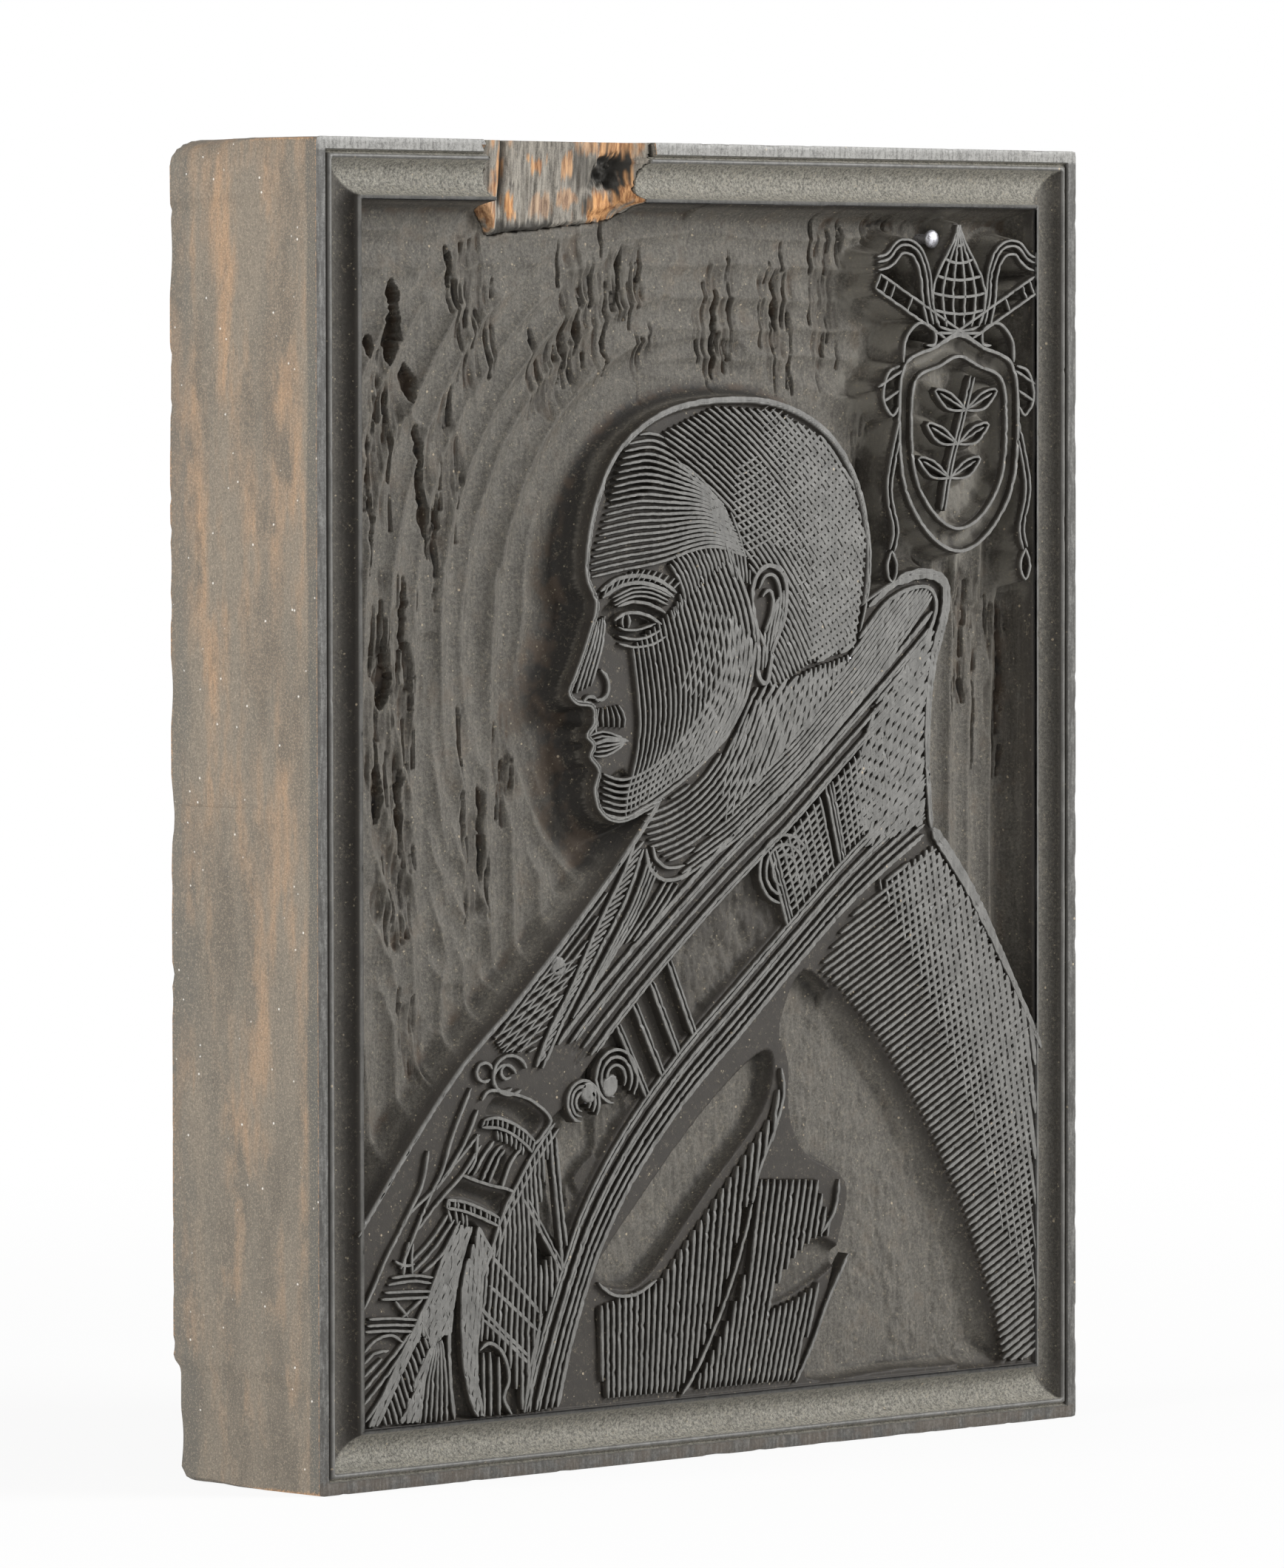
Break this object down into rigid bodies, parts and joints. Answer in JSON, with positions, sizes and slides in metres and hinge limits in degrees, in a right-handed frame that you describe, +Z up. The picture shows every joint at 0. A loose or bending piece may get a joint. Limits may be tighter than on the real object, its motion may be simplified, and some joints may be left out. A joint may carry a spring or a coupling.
{
  "type": "woodcut printing block",
  "caption": "Type-high wooden relief printing block with a carved portrait bust, shield and moulded border, and small metal pins in its face.",
  "frame": {"origin": "middle of the foot, under the middle of the block", "axes": "+Z up along the grain, -Y out of the printing face, +X to the right as the face is seen"},
  "size_m": [0.117, 0.0236, 0.144],
  "materials": {
    "inked_wood": "close-grained wood blackened by printing ink, with bare brown wood on the worn sides",
    "pin_steel": "clipped and rubbed bright"
  },
  "bodies": {
    "root": {"wood_block": "inked_wood", "crest_pin": "pin_steel", "shoulder_pin": "pin_steel", "band_pin_left": "pin_steel", "band_pin_right": "pin_steel", "collar_pin": "pin_steel"}
  },
  "joints": []
}
